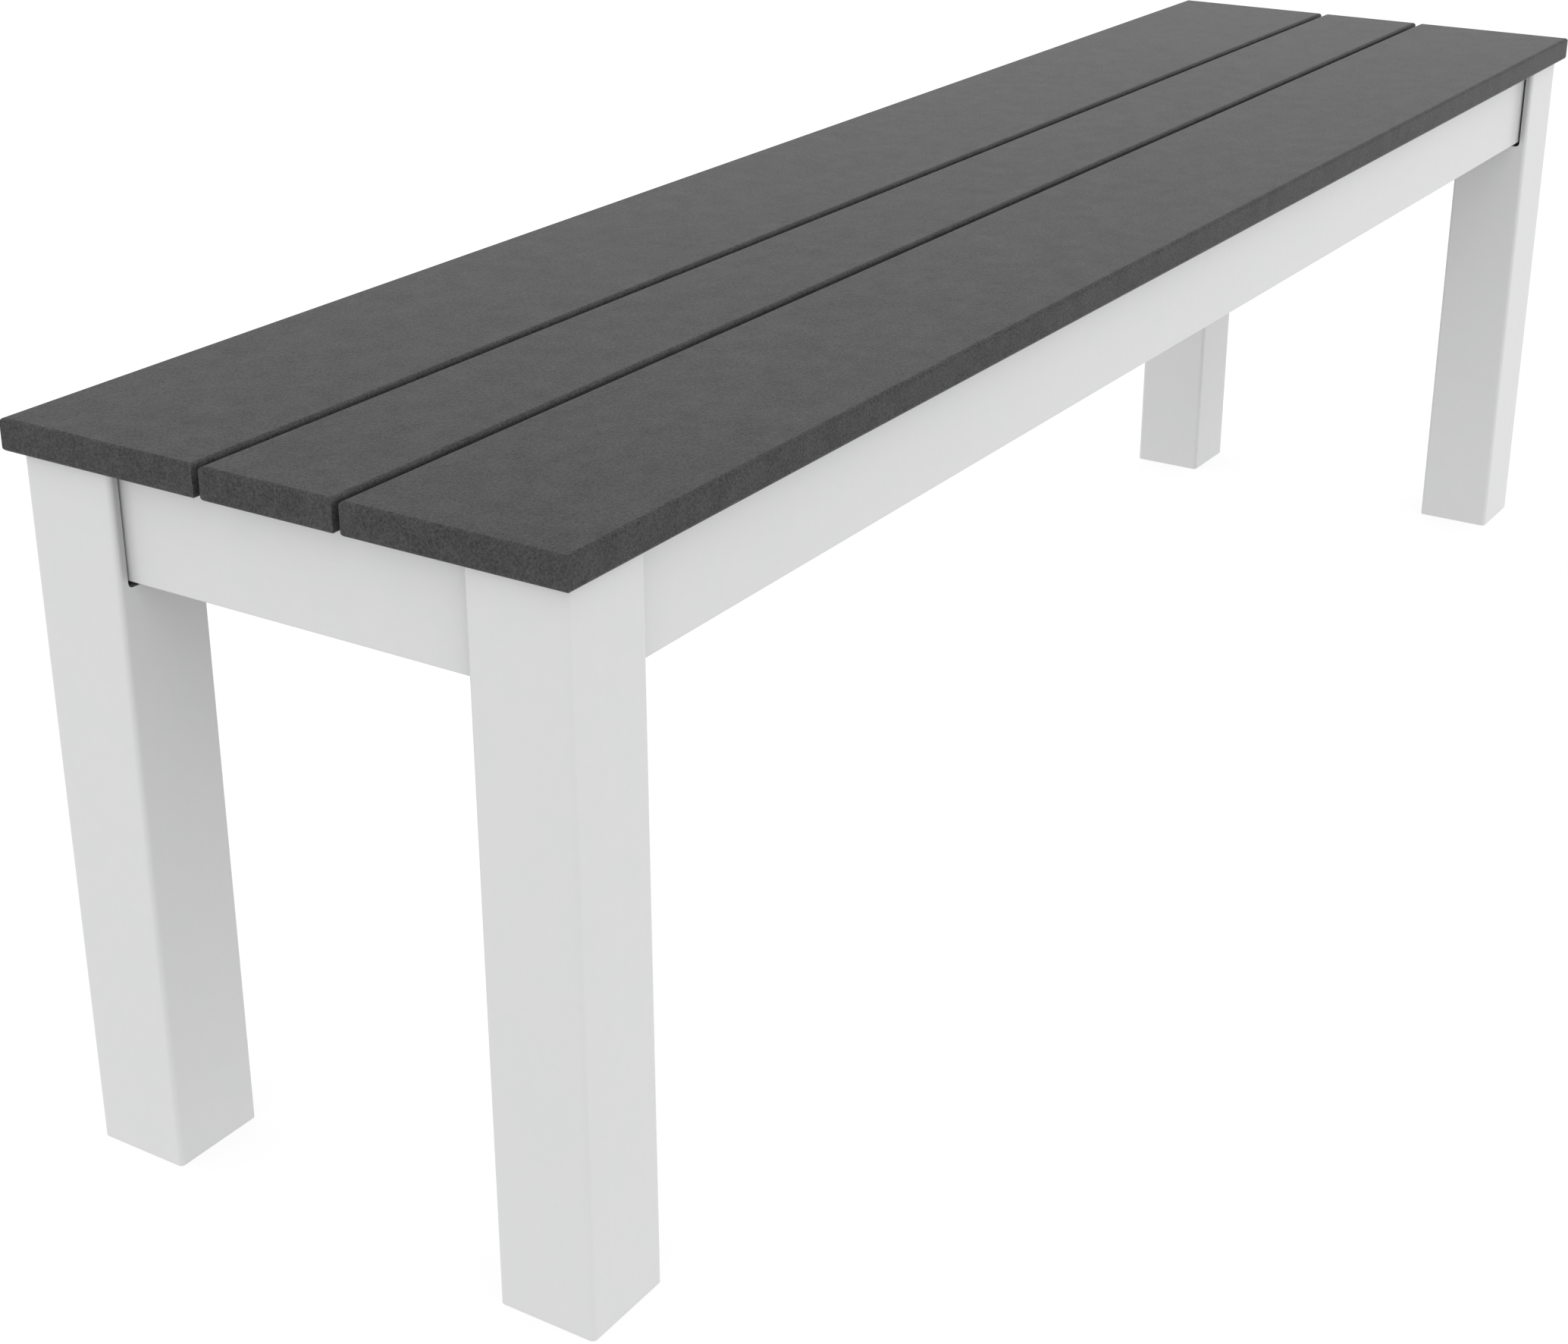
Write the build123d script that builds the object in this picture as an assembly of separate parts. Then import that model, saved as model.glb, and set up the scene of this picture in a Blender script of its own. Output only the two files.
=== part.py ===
from build123d import *
import os

# Backless bench. Millimetres, +Z up, origin on the floor under the middle of the seat.
# X runs along the bench, -X is its left end. Y runs across it, -Y is its front.

# Overall size
bench_length = 1520.0
seat_height = 455.0

# Flat boards: slats, aprons and battens are all cut from the same stock
board_thickness = 19.05
board_edge_radius = 1.0

# Seat slats: two wide ones with a narrow one between them, their ends sawn square
wide_slat_width = 139.7
narrow_slat_width = 88.9
slat_gap = 4.75
slat_edge_radius = 2.6

# Legs
leg_side = 63.5
leg_edge_radius = 3.2
slat_overhang_at_ends = 7.8
slat_overhang_at_sides = 6.8
foot_chamfer = 0.6

# Aprons, and the pockets in the legs that take their ends
apron_height = 65.6
apron_setback = 7.8
apron_end_in_leg = 22.0
pocket_depth = 23.5
pocket_front_clearance = 1.7
pocket_bottom_clearance = 3.5
pocket_corner_radius = 3.2

# Battens across the underside of the slats
batten_width = 63.5
end_batten_gap_to_leg = 1.5
side_batten_gap_to_apron = 0.5

# Angle brackets under the battens
bracket_arm = 38.0
bracket_width = 20.0
bracket_thickness = 2.5
bracket_inner_bend = 2.0
bracket_corner_radius = 4.0
bracket_hole_distances = (14.0, 29.0)
end_bracket_from_centre = 87.5

# Screws: shank, pilot hole and clearance hole diameters, and head
shank_diameter = 4.8
clearance_diameter = 5.3
head_diameter = 9.2
head_height = 3.2
head_edge_radius = 1.4
drive_recess_side = 2.9
drive_recess_depth = 1.8
tip_length = 4.0
pilot_runout = 1.0
slat_screw_length = 32.0
bracket_screw_length = 16.0
leg_screw_length = 45.0
leg_counterbore_diameter = 10.5
leg_counterbore_depth = 6.0

# Where the screws go
leg_screw_from_pocket_mouth = 11.5
long_apron_screw_drops = (25.0, 51.0)
short_apron_screw_drops = (12.0, 38.0)
wide_slat_screw_rows = (70.0, 105.0)
narrow_slat_screw_row = 25.0
slat_screw_stagger = 16.0

# Sizes that follow from the ones above
seat_depth = 2 * wide_slat_width + narrow_slat_width + 2 * slat_gap
slat_underside = seat_height - board_thickness
leg_height = slat_underside
leg_outer_x = bench_length / 2 - slat_overhang_at_ends
leg_outer_y = seat_depth / 2 - slat_overhang_at_sides
leg_inner_x = leg_outer_x - leg_side
leg_inner_y = leg_outer_y - leg_side
apron_outer_x = leg_outer_x - apron_setback
apron_outer_y = leg_outer_y - apron_setback
apron_inner_x = apron_outer_x - board_thickness
apron_inner_y = apron_outer_y - board_thickness
apron_bottom = slat_underside - apron_height
batten_underside = slat_underside - board_thickness
end_batten_x = apron_inner_x - batten_width / 2
wide_slat_centre_y = (narrow_slat_width + wide_slat_width) / 2 + slat_gap
pocket_floor = apron_bottom - pocket_bottom_clearance


def board(length, width, height):
    """A board lying along X, centred on the origin, with its four long edges eased."""
    blank = Box(length, width, height)
    return fillet(blank.edges().filter_by(Axis.X), board_edge_radius)


def screw_frame(point, direction):
    """The place of a screw whose head sits at a point and whose tip points along a direction."""
    return Plane(origin=point, z_dir=direction).location


def hole(point, direction, diameter, depth):
    """A round hole that starts at a point and runs along a direction."""
    drill = Cylinder(diameter / 2, depth, align=(Align.CENTER, Align.CENTER, Align.MIN))
    return screw_frame(point, direction) * drill


def screw(length):
    """A pan-head screw with a square drive: seat at the origin, tip towards +Z, thread left plain."""
    up = (Align.CENTER, Align.CENTER, Align.MIN)
    head = Pos(0, 0, -head_height) * Cylinder(head_diameter / 2, head_height, align=up)
    head = fillet(head.edges().group_by(Axis.Z)[0], head_edge_radius)
    shank = Cylinder(shank_diameter / 2, length - tip_length, align=up)
    tip = Pos(0, 0, length - tip_length) * Cone(shank_diameter / 2, 0.4, tip_length, align=up)
    recess = Pos(0, 0, -head_height) * Box(drive_recess_side, drive_recess_side, drive_recess_depth, align=up)
    return head + shank + tip - recess


# Places of the screws: each is (point under the head, direction of the tip)


def leg_screw_places(side_x, side_y):
    """The four screws of one leg: two into the long apron's end, two into the short apron's end."""
    across_x = side_x * (leg_inner_x + leg_screw_from_pocket_mouth)
    across_y = side_y * (leg_inner_y + leg_screw_from_pocket_mouth)
    seat_x = side_x * (leg_inner_x + leg_counterbore_depth)
    seat_y = side_y * (leg_inner_y + leg_counterbore_depth)
    places = []
    for drop in long_apron_screw_drops:
        places.append(((across_x, seat_y, slat_underside - drop), (0, side_y, 0)))
    for drop in short_apron_screw_drops:
        places.append(((seat_x, across_y, slat_underside - drop), (side_x, 0, 0)))
    return places


def slat_screw_places(batten_x):
    """The six screws that go up through one batten: two into each slat."""
    near_row, far_row = wide_slat_screw_rows
    spots = []
    for side in (-1, 1):
        spots.append((batten_x - slat_screw_stagger, side * near_row))
        spots.append((batten_x + slat_screw_stagger, side * far_row))
        spots.append((batten_x + side * slat_screw_stagger, side * narrow_slat_screw_row))
    return [((x, y, batten_underside), (0, 0, 1)) for x, y in spots]


# Places of the angle brackets: each is (corner point, way its flat arm points)

batten_xs = {
    "left_end": -end_batten_x,
    "left": -end_batten_x / 2,
    "centre": 0.0,
    "right": end_batten_x / 2,
    "right_end": end_batten_x,
}


def bracket_places():
    """Each bracket's node name with its corner point and the way its flat arm points."""
    places = {}
    for name in ("left", "centre", "right"):
        for side, word in ((-1, "front"), (1, "rear")):
            corner = (batten_xs[name], side * apron_inner_y, batten_underside)
            places[f"bracket_{word}_{name}"] = (corner, (0, -side, 0))
    for side_x, end_word in ((-1, "left_end"), (1, "right_end")):
        for side_y, word in ((-1, "front"), (1, "rear")):
            corner = (side_x * apron_inner_x, side_y * end_bracket_from_centre, batten_underside)
            places[f"bracket_{end_word}_{word}"] = (corner, (-side_x, 0, 0))
    return places


def bracket_screw_places():
    """Four screws to a bracket: two up into the batten, two sideways into the apron."""
    places = []
    for corner, arm in bracket_places().values():
        base = Vector(*corner)
        out = Vector(*arm)
        down = Vector(0, 0, -1)
        for distance in bracket_hole_distances:
            places.append((base + out * distance + down * bracket_thickness, -down))
            places.append((base + down * distance + out * bracket_thickness, -out))
    return places


def pilot_holes(places, head_to_mouth, screw_length):
    """Blind holes for screws, from where each one enters the board that it bites into."""
    depth = screw_length - head_to_mouth + pilot_runout
    holes = []
    for point, direction in places:
        mouth = Vector(*point) + Vector(*direction) * head_to_mouth
        holes.append(hole(mouth, direction, shank_diameter, depth))
    return holes


def inside(places, axis, low, high):
    """The places whose point lies between two values along one axis."""
    return [place for place in places if low < tuple(Vector(*place[0]))[axis] < high]


# The parts


def make_slat(width, centre_y):
    """A seat slat, rounded round its top and its bottom, with blind screw holes in its underside."""
    slat = Pos(0, centre_y, seat_height - board_thickness / 2) * Box(bench_length, width, board_thickness)
    slat = fillet(slat.edges().group_by(Axis.Z)[-1] + slat.edges().group_by(Axis.Z)[0], slat_edge_radius)
    places = []
    for batten_x in batten_xs.values():
        places += inside(slat_screw_places(batten_x), 1, centre_y - width / 2, centre_y + width / 2)
    return slat - pilot_holes(places, board_thickness, slat_screw_length)


def make_pocket(along_x):
    """The pocket for one apron's end, for the leg in the +X +Y corner: open at the leg's top."""
    width = board_thickness + pocket_front_clearance
    height = slat_underside - pocket_floor + 1.0
    low = (Align.MIN, Align.MIN, Align.MIN)
    if along_x:
        block = Pos(leg_inner_x, apron_inner_y, pocket_floor) * Box(pocket_depth, width, height, align=low)
        ends = block.edges().filter_by(Axis.X)
    else:
        block = Pos(apron_inner_x, leg_inner_y, pocket_floor) * Box(width, pocket_depth, height, align=low)
        ends = block.edges().filter_by(Axis.Y)
    return fillet(ends.group_by(Axis.Z)[0], pocket_corner_radius)


def make_leg(side_x, side_y):
    """A solid square leg with two pockets at its top and counterbored screw holes."""
    low = (Align.MIN, Align.MIN, Align.MIN)
    leg = Pos(leg_inner_x, leg_inner_y, 0) * Box(leg_side, leg_side, leg_height, align=low)
    leg = fillet(leg.edges().filter_by(Axis.Z), leg_edge_radius)
    leg = chamfer(leg.edges().group_by(Axis.Z)[0], foot_chamfer)
    leg -= make_pocket(True)
    leg -= make_pocket(False)
    reach = leg_side - leg_counterbore_depth - apron_setback - board_thickness
    for point, direction in leg_screw_places(1, 1):
        leg -= hole(point, direction, clearance_diameter, reach)
        back = [-value for value in direction]
        leg -= hole(point, back, leg_counterbore_diameter, leg_counterbore_depth + 1.0)
    if side_x < 0:
        leg = mirror(leg, about=Plane.YZ)
    if side_y < 0:
        leg = mirror(leg, about=Plane.XZ)
    return leg


def make_long_apron(side_y):
    """A front or rear apron, drilled for the leg screws and the battens' brackets."""
    length = 2 * (leg_inner_x + apron_end_in_leg)
    middle_y = side_y * (apron_outer_y - board_thickness / 2)
    middle_z = apron_bottom + apron_height / 2
    apron = Pos(0, middle_y, middle_z) * board(length, board_thickness, apron_height)
    to_tenon = leg_side - leg_counterbore_depth - apron_setback - board_thickness
    leg_places = leg_screw_places(-1, side_y)[:2] + leg_screw_places(1, side_y)[:2]
    bracket_places_here = [
        (point, direction) for point, direction in bracket_screw_places() if direction.Y * side_y > 0.5
    ]
    apron -= pilot_holes(leg_places, to_tenon, leg_screw_length)
    return apron - pilot_holes(bracket_places_here, bracket_thickness, bracket_screw_length)


def make_short_apron(side_x):
    """A left or right apron, drilled for the leg screws and the end batten's brackets."""
    length = 2 * (leg_inner_y + apron_end_in_leg)
    middle_x = side_x * (apron_outer_x - board_thickness / 2)
    middle_z = apron_bottom + apron_height / 2
    plank = board(length, board_thickness, apron_height)
    apron = Pos(middle_x, 0, middle_z) * Rot(0, 0, 90) * plank
    to_tenon = leg_side - leg_counterbore_depth - apron_setback - board_thickness
    leg_places = leg_screw_places(side_x, -1)[2:] + leg_screw_places(side_x, 1)[2:]
    bracket_places_here = [
        (point, direction) for point, direction in bracket_screw_places() if direction.X * side_x > 0.5
    ]
    apron -= pilot_holes(leg_places, to_tenon, leg_screw_length)
    return apron - pilot_holes(bracket_places_here, bracket_thickness, bracket_screw_length)


def make_batten(batten_x, half_length):
    """A flat batten across the bench, under the slats, with through holes and bracket holes."""
    plank = board(2 * half_length, batten_width, board_thickness)
    batten = Pos(batten_x, 0, slat_underside - board_thickness / 2) * Rot(0, 0, 90) * plank
    for point, direction in slat_screw_places(batten_x):
        batten -= hole(point, direction, clearance_diameter, board_thickness)
    upward = [place for place in bracket_screw_places() if place[1].Z > 0.5]
    here = inside(upward, 0, batten_x - batten_width / 2, batten_x + batten_width / 2)
    return batten - pilot_holes(here, bracket_thickness, bracket_screw_length)


def bracket_shape():
    """An angle bracket: corner at the origin, flat arm along +X, other arm down -Z."""
    up = (Align.MIN, Align.CENTER, Align.MAX)
    flat_arm = Box(bracket_arm, bracket_width, bracket_thickness, align=up)
    flat_arm = fillet(flat_arm.edges().filter_by(Axis.Z).group_by(Axis.X)[-1], bracket_corner_radius)
    down_arm = Box(bracket_thickness, bracket_width, bracket_arm, align=up)
    down_arm = fillet(down_arm.edges().filter_by(Axis.X).group_by(Axis.Z)[0], bracket_corner_radius)
    angle = flat_arm + down_arm
    inner_bend = [
        edge
        for edge in angle.edges().filter_by(Axis.Y)
        if abs(edge.center().X - bracket_thickness) < 0.01 and abs(edge.center().Z + bracket_thickness) < 0.01
    ]
    angle = fillet(inner_bend, bracket_inner_bend)
    outer_bend = [
        edge
        for edge in angle.edges().filter_by(Axis.Y)
        if abs(edge.center().X) < 0.01 and abs(edge.center().Z) < 0.01
    ]
    angle = fillet(outer_bend, bracket_inner_bend + bracket_thickness)
    for distance in bracket_hole_distances:
        angle -= hole((distance, 0, 1), (0, 0, -1), clearance_diameter, bracket_thickness + 2)
        angle -= hole((-1, 0, -distance), (1, 0, 0), clearance_diameter, bracket_thickness + 2)
    return angle


def make_bracket(corner, arm):
    """An angle bracket in its place."""
    return Plane(origin=corner, x_dir=arm, z_dir=(0, 0, 1)).location * bracket_shape()


def make_screws(places, length):
    """A group of equal screws, one separate solid each."""
    pattern = screw(length)
    return Compound(children=[screw_frame(point, direction) * pattern for point, direction in places])


def make_parts():
    """Every piece of the bench under its node name."""
    parts = {
        "seat_slat_front": make_slat(wide_slat_width, -wide_slat_centre_y),
        "seat_slat_middle": make_slat(narrow_slat_width, 0.0),
        "seat_slat_rear": make_slat(wide_slat_width, wide_slat_centre_y),
        "leg_front_left": make_leg(-1, -1),
        "leg_front_right": make_leg(1, -1),
        "leg_rear_left": make_leg(-1, 1),
        "leg_rear_right": make_leg(1, 1),
        "apron_front": make_long_apron(-1),
        "apron_rear": make_long_apron(1),
        "apron_left": make_short_apron(-1),
        "apron_right": make_short_apron(1),
    }
    end_half_length = leg_inner_y - end_batten_gap_to_leg
    side_half_length = apron_inner_y - side_batten_gap_to_apron
    for name, batten_x in batten_xs.items():
        half_length = end_half_length if name.endswith("_end") else side_half_length
        parts[f"batten_{name}"] = make_batten(batten_x, half_length)
    for name, (corner, arm) in bracket_places().items():
        parts[name] = make_bracket(corner, arm)
    leg_places = []
    for side_x in (-1, 1):
        for side_y in (-1, 1):
            leg_places += leg_screw_places(side_x, side_y)
    slat_places = []
    for batten_x in batten_xs.values():
        slat_places += slat_screw_places(batten_x)
    parts["leg_screws"] = make_screws(leg_places, leg_screw_length)
    parts["slat_screws"] = make_screws(slat_places, slat_screw_length)
    parts["bracket_screws"] = make_screws(bracket_screw_places(), bracket_screw_length)
    return parts


os.makedirs("parts", exist_ok=True)
for node, shape in make_parts().items():
    export_step(shape, f"parts/{node}.step")
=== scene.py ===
import bpy
from mathutils import Matrix, Vector


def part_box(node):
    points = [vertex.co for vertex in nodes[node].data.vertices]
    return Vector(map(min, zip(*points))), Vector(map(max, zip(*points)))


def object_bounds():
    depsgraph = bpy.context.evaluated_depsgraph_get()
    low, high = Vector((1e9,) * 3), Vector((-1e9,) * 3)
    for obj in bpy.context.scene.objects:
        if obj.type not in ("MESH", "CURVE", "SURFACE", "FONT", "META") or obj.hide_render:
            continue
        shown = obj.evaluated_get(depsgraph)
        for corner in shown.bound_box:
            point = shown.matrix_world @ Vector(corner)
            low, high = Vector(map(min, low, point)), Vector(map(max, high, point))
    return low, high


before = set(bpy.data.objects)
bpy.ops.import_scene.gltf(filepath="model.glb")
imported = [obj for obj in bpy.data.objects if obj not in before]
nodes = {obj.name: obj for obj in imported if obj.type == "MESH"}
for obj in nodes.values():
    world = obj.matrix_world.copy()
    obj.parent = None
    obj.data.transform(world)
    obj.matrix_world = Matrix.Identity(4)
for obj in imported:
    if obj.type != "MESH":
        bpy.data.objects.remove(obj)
cad_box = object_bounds()

# ---------------------------------------------------------------- light and floor

SKY_AT_HORIZON = 1.0
SKY_RISE = 0.08
FLOOR_GLOW = 0.93
FLOOR_SHADE = 0.12
FLOOR_ROUGHNESS = 0.9
FLOOR_CLOUD_SCALE = 1.5
FLOOR_CLOUD_SWING = 0.005
FLOOR_HALF_SIDE = 40.0
FLOOR_BELOW_FEET = 0.0001

# ---------------------------------------------------------------- camera, metres and unit vectors

CAMERA_PLACE = (-1.6601, -0.8804, 0.9035)
CAMERA_RIGHT = (0.534779, -0.844992, 0.0)
CAMERA_FORWARD = (0.778253, 0.492570, -0.389484)
CAMERA_LENS_MM = 60.352
CAMERA_SENSOR_MM = 36.0
CAMERA_SHIFT = (-0.00392, -0.03557)
CAMERA_CLIP = (0.05, 200.0)

# ---------------------------------------------------------------- looks of the boards

# Each strength is a share of the base colour.
CHARCOAL = {
    "colour": (0.0645, 0.0644, 0.0643),
    "second_colour": (0.0635, 0.0634, 0.0633),
    "roughness": 0.31,
    "specular": 0.03,
    "grain_scale": 740.0,
    "speckle": 0.95,
    "blotch": 0.14,
    "streak": 0.05,
    "cloud": 0.15,
    "drift": 0.05,
    "edge": 0.03,
    "end": 0.03,
    "bump": 0.55,
}

WHITE = {
    "colour": (0.688, 0.6875, 0.6865),
    "second_colour": (0.676, 0.684, 0.6815),
    "roughness": 0.235,
    "specular": 0.5,
    "grain_scale": 500.0,
    "speckle": 0.008,
    "blotch": 0.012,
    "streak": 0.004,
    "cloud": 0.002,
    "drift": 0.010,
    "edge": -0.015,
    "end": -0.02,
    "bump": 0.05,
}

# Noise scales are per metre, from fine to broad.
GRAIN_ROUGHNESS = 0.68
BLOTCH_SCALE = 120.0
CLOUD_SCALE = 60.0
MOTTLE_SCALE = 42.0
DRIFT_SCALE = 7.0
STREAK_SCALE_ACROSS = 170.0
STREAK_SCALE_ALONG = 2.5

# Each board, and the mottle within it, takes its pattern from its own part of the noise.
BOARD_STEP = (1.7, 0.9, 2.3)
MOTTLE_OFFSET = (0.31, 0.47, 0.13)
MOTTLE_CONTRAST = 3.0

EDGE_ROUNDING = 0.0026
END_SHARPNESS = 4.0

# The swings are small: the denoiser leaves specks where roughness crosses about 0.274,
# so the white stays below that everywhere and the charcoal above it.
ROUGHNESS_SWING = {"speckle": 0.015, "streak": 0.008, "edge": -0.01, "end": 0.012}
BOARD_BUMP_DISTANCE = 0.0003
STREAK_HEIGHT = 0.3

# ---------------------------------------------------------------- looks of the metal

STEEL_COLOUR = (0.60, 0.60, 0.61)
STEEL_ROUGHNESS = 0.34
BRUSHING_SWING = 0.10
TARNISH_SWING = 0.08
TARNISH_SCALE = 90.0
SHEET_BRUSHING = (2500.0, 2500.0, 60.0)
TURNED_BRUSHING = (900.0, 900.0, 900.0)
STEEL_BUMP = 0.15
STEEL_BUMP_DISTANCE = 0.0001


class Graph:
    """A material's node tree, with short ways to add nodes and join them."""

    def __init__(self, name):
        self.material = bpy.data.materials.new(name)
        self.material.use_nodes = True
        self.tree = self.material.node_tree
        self.tree.nodes.clear()
        self.output = self.add("ShaderNodeOutputMaterial")
        self.shader = self.add("ShaderNodeBsdfPrincipled")
        self.join(self.shader.outputs["BSDF"], self.output.inputs["Surface"])

    def add(self, kind, **settings):
        node = self.tree.nodes.new(kind)
        for key, value in settings.items():
            setattr(node, key, value)
        return node

    def join(self, source, target):
        self.tree.links.new(source, target)

    def feed(self, target, value):
        if isinstance(value, bpy.types.NodeSocket):
            self.join(value, target)
        else:
            target.default_value = value

    def math(self, operation, *values, clamp=False):
        node = self.add("ShaderNodeMath", operation=operation, use_clamp=clamp)
        for target, value in zip(node.inputs, values):
            self.feed(target, value)
        return node.outputs[0]

    def vector(self, operation, *values):
        node = self.add("ShaderNodeVectorMath", operation=operation)
        for target, value in zip(node.inputs, values):
            self.feed(target, value)
        return node.outputs[0]

    def split(self, value):
        node = self.add("ShaderNodeSeparateXYZ")
        self.join(value, node.inputs[0])
        return node.outputs

    def noise(self, place, scale, detail=2.0, roughness=0.5):
        node = self.add("ShaderNodeTexNoise", noise_dimensions="3D")
        self.join(place, node.inputs["Vector"])
        node.inputs["Scale"].default_value = scale
        node.inputs["Detail"].default_value = detail
        node.inputs["Roughness"].default_value = roughness
        return node.outputs["Fac"]

    def centred(self, value, amount):
        """A 0 to 1 value as a small swing about zero."""
        return self.math("MULTIPLY", self.math("SUBTRACT", value, 0.5), 2 * amount)

    def total(self, *values):
        result = values[0]
        for value in values[1:]:
            result = self.math("ADD", result, value)
        return result

    def tinted(self, colour, factor):
        """A fixed colour made lighter or darker by a factor from the tree."""
        rgb = self.add("ShaderNodeCombineColor")
        for target, value in zip(rgb.inputs, colour):
            self.join(self.math("MULTIPLY", factor, value), target)
        return rgb.outputs[0]

    def mixed(self, first, second, share, factor):
        """Two colours blended by a share from the tree, made lighter or darker by a factor."""
        rgb = self.add("ShaderNodeCombineColor")
        for target, start, end in zip(rgb.inputs, first, second):
            blend = self.math("MULTIPLY_ADD", share, end - start, start)
            self.join(self.math("MULTIPLY", factor, blend), target)
        return rgb.outputs[0]

    def set_bump(self, height, strength, distance):
        """Raises the surface by a height from the tree."""
        bump = self.add("ShaderNodeBump")
        bump.inputs["Strength"].default_value = strength
        bump.inputs["Distance"].default_value = distance
        self.join(height, bump.inputs["Height"])
        self.join(bump.outputs["Normal"], self.shader.inputs["Normal"])


def edge_mask(graph, place, low, high):
    """0 on a board's flat faces, rising over its rounded edges, from the board's own box.

    Each axis has a share of how far a point lies past the flat part of the box. The middle one
    of the three shares is above 0 only where two faces meet.
    """
    centre = (low + high) / 2
    flat_half = (high - low) / 2 - Vector((EDGE_ROUNDING,) * 3)
    offset = graph.vector("ABSOLUTE", graph.vector("SUBTRACT", place, tuple(centre)))
    past = graph.vector("SUBTRACT", offset, tuple(flat_half))
    share = [graph.math("DIVIDE", part, EDGE_ROUNDING, clamp=True) for part in graph.split(past)]
    lower = graph.math("MINIMUM", share[0], share[1])
    higher = graph.math("MAXIMUM", share[0], share[1])
    return graph.math("MAXIMUM", lower, graph.math("MINIMUM", higher, share[2]))


def board_patterns(graph, look, place, long_axis):
    """The noises that vary a board's tone, by name."""
    stretch = [STREAK_SCALE_ACROSS] * 3
    stretch[long_axis] = STREAK_SCALE_ALONG
    along = graph.vector("MULTIPLY", place, tuple(stretch))
    return {
        "speckle": graph.noise(place, look["grain_scale"], roughness=GRAIN_ROUGHNESS),
        "blotch": graph.noise(place, BLOTCH_SCALE),
        "streak": graph.noise(along, 1.0),
        "cloud": graph.noise(place, CLOUD_SCALE, detail=0.0),
        "drift": graph.noise(place, DRIFT_SCALE, detail=1.0),
    }


def board_mottle(graph, place):
    """The share of a board's second colour: soft patches from 0 to 1."""
    patches = graph.noise(graph.vector("ADD", place, MOTTLE_OFFSET), MOTTLE_SCALE)
    return graph.math("MULTIPLY_ADD", patches, MOTTLE_CONTRAST, (1 - MOTTLE_CONTRAST) / 2, clamp=True)


def board_material(name, look, node_name, seed):
    """Plastic lumber: fine speckle, soft blotches, streaks along the board, toned edges and ends."""
    graph = Graph(name)
    low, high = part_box(node_name)
    size = high - low
    long_axis = max(range(3), key=lambda axis: size[axis])
    coordinates = graph.add("ShaderNodeTexCoord").outputs["Object"]
    place = graph.vector("ADD", coordinates, tuple(step * seed for step in BOARD_STEP))
    patterns = board_patterns(graph, look, place, long_axis)
    edge = edge_mask(graph, coordinates, low, high)
    normal = graph.add("ShaderNodeNewGeometry").outputs["Normal"]
    facing = graph.split(graph.vector("ABSOLUTE", normal))
    end = graph.math("POWER", facing[long_axis], END_SHARPNESS)

    variation = graph.total(
        *(graph.centred(value, look[key]) for key, value in patterns.items()),
        graph.math("MULTIPLY", edge, look["edge"]),
        graph.math("MULTIPLY", end, look["end"]),
    )
    factor = graph.math("ADD", variation, 1.0)
    mottle = board_mottle(graph, place)
    colour = graph.mixed(look["colour"], look["second_colour"], mottle, factor)
    graph.join(colour, graph.shader.inputs["Base Color"])

    roughness = graph.total(
        graph.centred(patterns["speckle"], ROUGHNESS_SWING["speckle"]),
        graph.centred(patterns["streak"], ROUGHNESS_SWING["streak"]),
        graph.math("MULTIPLY", edge, ROUGHNESS_SWING["edge"]),
        graph.math("MULTIPLY", end, ROUGHNESS_SWING["end"]),
    )
    roughness = graph.math("ADD", roughness, look["roughness"], clamp=True)
    graph.join(roughness, graph.shader.inputs["Roughness"])
    graph.shader.inputs["Specular IOR Level"].default_value = look["specular"]

    height = graph.total(patterns["speckle"], graph.math("MULTIPLY", patterns["streak"], STREAK_HEIGHT))
    graph.set_bump(height, look["bump"], BOARD_BUMP_DISTANCE)
    return graph.material


def steel_material(name, brushing_scale):
    """Plain stainless steel with fine brushing and a little tarnish."""
    graph = Graph(name)
    coordinates = graph.add("ShaderNodeTexCoord").outputs["Object"]
    stretched = graph.vector("MULTIPLY", coordinates, brushing_scale)
    brushing = graph.noise(stretched, 1.0, 3.0, 0.6)
    tarnish = graph.noise(coordinates, TARNISH_SCALE, 3.0, 0.55)
    variation = graph.total(
        graph.centred(brushing, BRUSHING_SWING),
        graph.centred(tarnish, TARNISH_SWING),
    )
    colour = graph.tinted(STEEL_COLOUR, graph.math("ADD", variation, 1.0))
    graph.join(colour, graph.shader.inputs["Base Color"])
    graph.shader.inputs["Metallic"].default_value = 1.0
    roughness = graph.math("ADD", variation, STEEL_ROUGHNESS, clamp=True)
    graph.join(roughness, graph.shader.inputs["Roughness"])
    graph.set_bump(brushing, STEEL_BUMP, STEEL_BUMP_DISTANCE)
    return graph.material


def dress(node, material):
    """Gives a CAD node one material all over."""
    slots = node.data.materials
    slots.clear()
    slots.append(material)


def dress_all():
    """The slats in charcoal, the rest of the frame in white, the brackets and screws in steel."""
    sheet = steel_material("stainless_sheet", SHEET_BRUSHING)
    turned = steel_material("stainless_turned", TURNED_BRUSHING)
    for number, (name, node) in enumerate(sorted(nodes.items())):
        if name.startswith("seat_slat"):
            dress(node, board_material(f"charcoal_{name}", CHARCOAL, name, number))
        elif "screws" in name:
            dress(node, turned)
        elif name.startswith("bracket"):
            dress(node, sheet)
        else:
            dress(node, board_material(f"white_{name}", WHITE, name, number))


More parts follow.
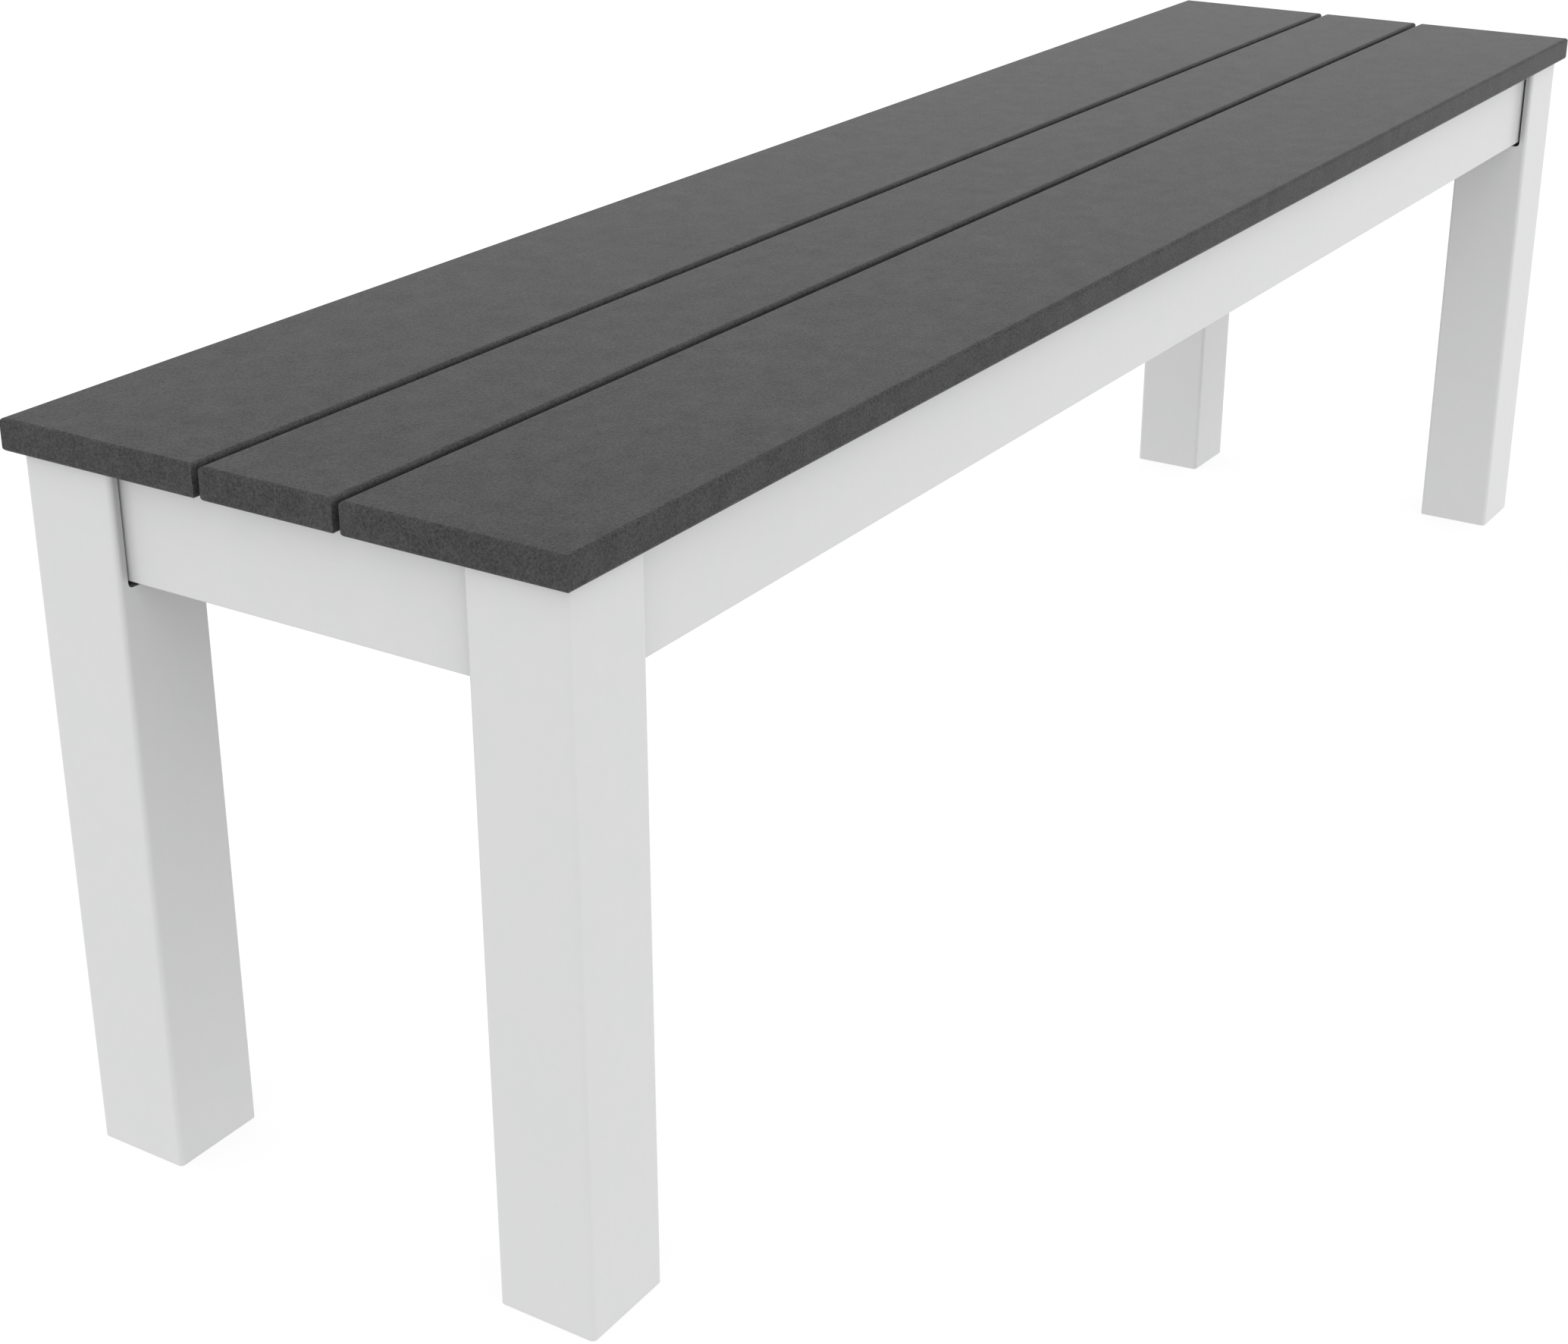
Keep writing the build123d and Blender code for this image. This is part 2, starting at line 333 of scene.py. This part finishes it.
def floor_material():
    """A pale matt floor that glows a little and can be seen through from below."""
    graph = Graph("pale_floor")
    coordinates = graph.add("ShaderNodeTexCoord").outputs["Object"]
    cloud = graph.noise(coordinates, FLOOR_CLOUD_SCALE)
    factor = graph.math("ADD", graph.centred(cloud, FLOOR_CLOUD_SWING), 1.0)
    graph.join(graph.tinted((FLOOR_SHADE,) * 3, factor), graph.shader.inputs["Base Color"])
    graph.join(graph.tinted((FLOOR_GLOW,) * 3, factor), graph.shader.inputs["Emission Color"])
    graph.shader.inputs["Emission Strength"].default_value = 1.0
    graph.shader.inputs["Roughness"].default_value = FLOOR_ROUGHNESS
    graph.shader.inputs["Specular IOR Level"].default_value = 0.0
    clear = graph.add("ShaderNodeBsdfTransparent")
    choice = graph.add("ShaderNodeMixShader")
    graph.join(graph.add("ShaderNodeNewGeometry").outputs["Backfacing"], choice.inputs[0])
    graph.join(graph.shader.outputs["BSDF"], choice.inputs[1])
    graph.join(clear.outputs["BSDF"], choice.inputs[2])
    graph.join(choice.outputs[0], graph.output.inputs["Surface"])
    return graph.material


def add_floor():
    """One large square just below the feet."""
    half = FLOOR_HALF_SIDE
    level = cad_box[0].z - FLOOR_BELOW_FEET
    mesh = bpy.data.meshes.new("floor")
    corners = [(-half, -half, level), (half, -half, level), (half, half, level), (-half, half, level)]
    mesh.from_pydata(corners, [], [(0, 1, 2, 3)])
    mesh.materials.append(floor_material())
    floor = bpy.data.objects.new("floor", mesh)
    bpy.context.scene.collection.objects.link(floor)


def add_light():
    """A white studio all round, a little brighter overhead, with no light passed on by surfaces."""
    world = bpy.data.worlds.new("studio")
    world.use_nodes = True
    tree = world.node_tree
    background = tree.nodes["Background"]
    background.inputs["Color"].default_value = (1.0, 1.0, 1.0, 1.0)
    direction = tree.nodes.new("ShaderNodeTexCoord").outputs["Generated"]
    parts = tree.nodes.new("ShaderNodeSeparateXYZ")
    tree.links.new(direction, parts.inputs[0])
    strength = tree.nodes.new("ShaderNodeMath")
    strength.operation = "MULTIPLY_ADD"
    tree.links.new(parts.outputs["Z"], strength.inputs[0])
    strength.inputs[1].default_value = SKY_RISE
    strength.inputs[2].default_value = SKY_AT_HORIZON
    tree.links.new(strength.outputs[0], background.inputs["Strength"])
    bpy.context.scene.world = world
    bpy.context.scene.cycles.diffuse_bounces = 0


def add_camera():
    """Looks along the bench from its near left corner, a little from above."""
    data = bpy.data.cameras.new("camera")
    data.sensor_width = CAMERA_SENSOR_MM
    data.lens = CAMERA_LENS_MM
    data.shift_x, data.shift_y = CAMERA_SHIFT
    data.clip_start, data.clip_end = CAMERA_CLIP
    camera = bpy.data.objects.new("camera", data)
    right = Vector(CAMERA_RIGHT).normalized()
    back = -Vector(CAMERA_FORWARD).normalized()
    up = back.cross(right)
    turn = Matrix((right, up, back)).transposed()
    camera.matrix_world = Matrix.Translation(CAMERA_PLACE) @ turn.to_4x4()
    bpy.context.scene.collection.objects.link(camera)
    bpy.context.scene.camera = camera


dress_all()
add_floor()
add_light()
add_camera()
bpy.context.scene.view_settings.view_transform = "Standard"
